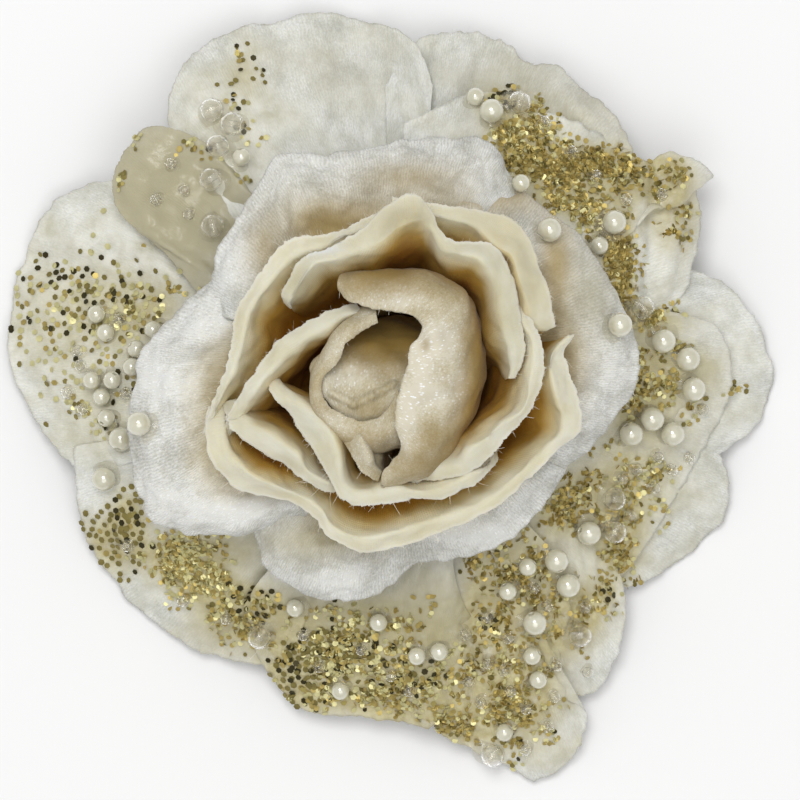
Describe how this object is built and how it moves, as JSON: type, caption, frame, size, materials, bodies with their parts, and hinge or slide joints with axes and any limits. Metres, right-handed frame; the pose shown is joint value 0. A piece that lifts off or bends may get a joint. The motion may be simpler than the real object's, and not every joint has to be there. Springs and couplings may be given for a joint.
{
  "type": "flower hair clip",
  "caption": "Cream velvet rose with glitter, pearls and clear beads on its outer petals, backed with felt and mounted on a sprung steel hair clip.",
  "frame": {"origin": "centre of the flower's outline, on the plane that the clip's thumb pad rests on", "axes": "+Z the way the flower faces, +X towards the tip of the clip's jaw, +Y along the hinge pin; the flower's top edge, as worn, is towards +Y"},
  "size_m": [0.1284, 0.129, 0.0528],
  "materials": {
    "velvet_outer": "stiffened off-white velvet, partly under clear glue with gold glitter",
    "velvet_white": "silvery white crushed velvet",
    "satin_cream": "matte cream stiffened cloth with raw cut edges",
    "velvet_bud": "cream velvet",
    "felt": "white wool felt",
    "steel": "stamped nickel-plated steel, lightly scratched",
    "steel_pin": "turned steel",
    "spring_steel": "drawn spring wire",
    "calyx_plastic": "green moulded plastic",
    "foam": "off-white foam",
    "pearl": "cream pearl coating",
    "clear_bead": "clear glass",
    "gold_glitter": "pale gold foil flakes"
  },
  "bodies": {
    "flower": {"bud_petal_1": "velvet_bud", "bud_petal_2": "velvet_bud", "bud_petal_3": "velvet_bud", "bud_petal_4": "velvet_bud", "calyx_plate": "calyx_plastic", "clip_pin": "steel_pin", "clip_spring": "spring_steel", "clip_upper_arm": "steel", "felt_disc": "felt", "felt_patch": "felt", "foam_core": "foam", "glass_beads": "clear_bead", "inner_petal_1": "satin_cream", "inner_petal_2": "satin_cream", "inner_petal_3": "satin_cream", "inner_petal_4": "satin_cream", "inner_petal_5": "satin_cream", "inner_petal_6": "satin_cream", "inner_petal_7": "satin_cream", "inner_petal_8": "satin_cream", "middle_petal_1": "velvet_white", "middle_petal_2": "velvet_white", "middle_petal_3": "velvet_white", "middle_petal_4": "velvet_white", "outer_petal_1": "velvet_outer", "outer_petal_10": "velvet_outer", "outer_petal_11": "velvet_outer", "outer_petal_12": "velvet_outer", "outer_petal_2": "velvet_outer", "outer_petal_3": "velvet_outer", "outer_petal_4": "velvet_outer", "outer_petal_5": "velvet_outer", "outer_petal_6": "velvet_outer", "outer_petal_7": "velvet_outer", "outer_petal_8": "velvet_outer", "outer_petal_9": "velvet_outer", "pearls_large": "pearl", "pearls_small": "pearl", "seed_beads": "clear_bead", "stem_post": "calyx_plastic"},
    "lower_arm": {"clip_lower_arm": "steel"}
  },
  "joints": [
    {"name": "clip_hinge", "type": "hinge", "parent": "flower", "child": "lower_arm", "pos_m": [-0.009, 0.003, 0.0082], "axis": [0, 1, 0], "range_deg": [0, 30], "stiffness_Nm_per_rad": 0.12, "springref_deg": -68.75, "deforming": ["clip_spring"]}
  ]
}
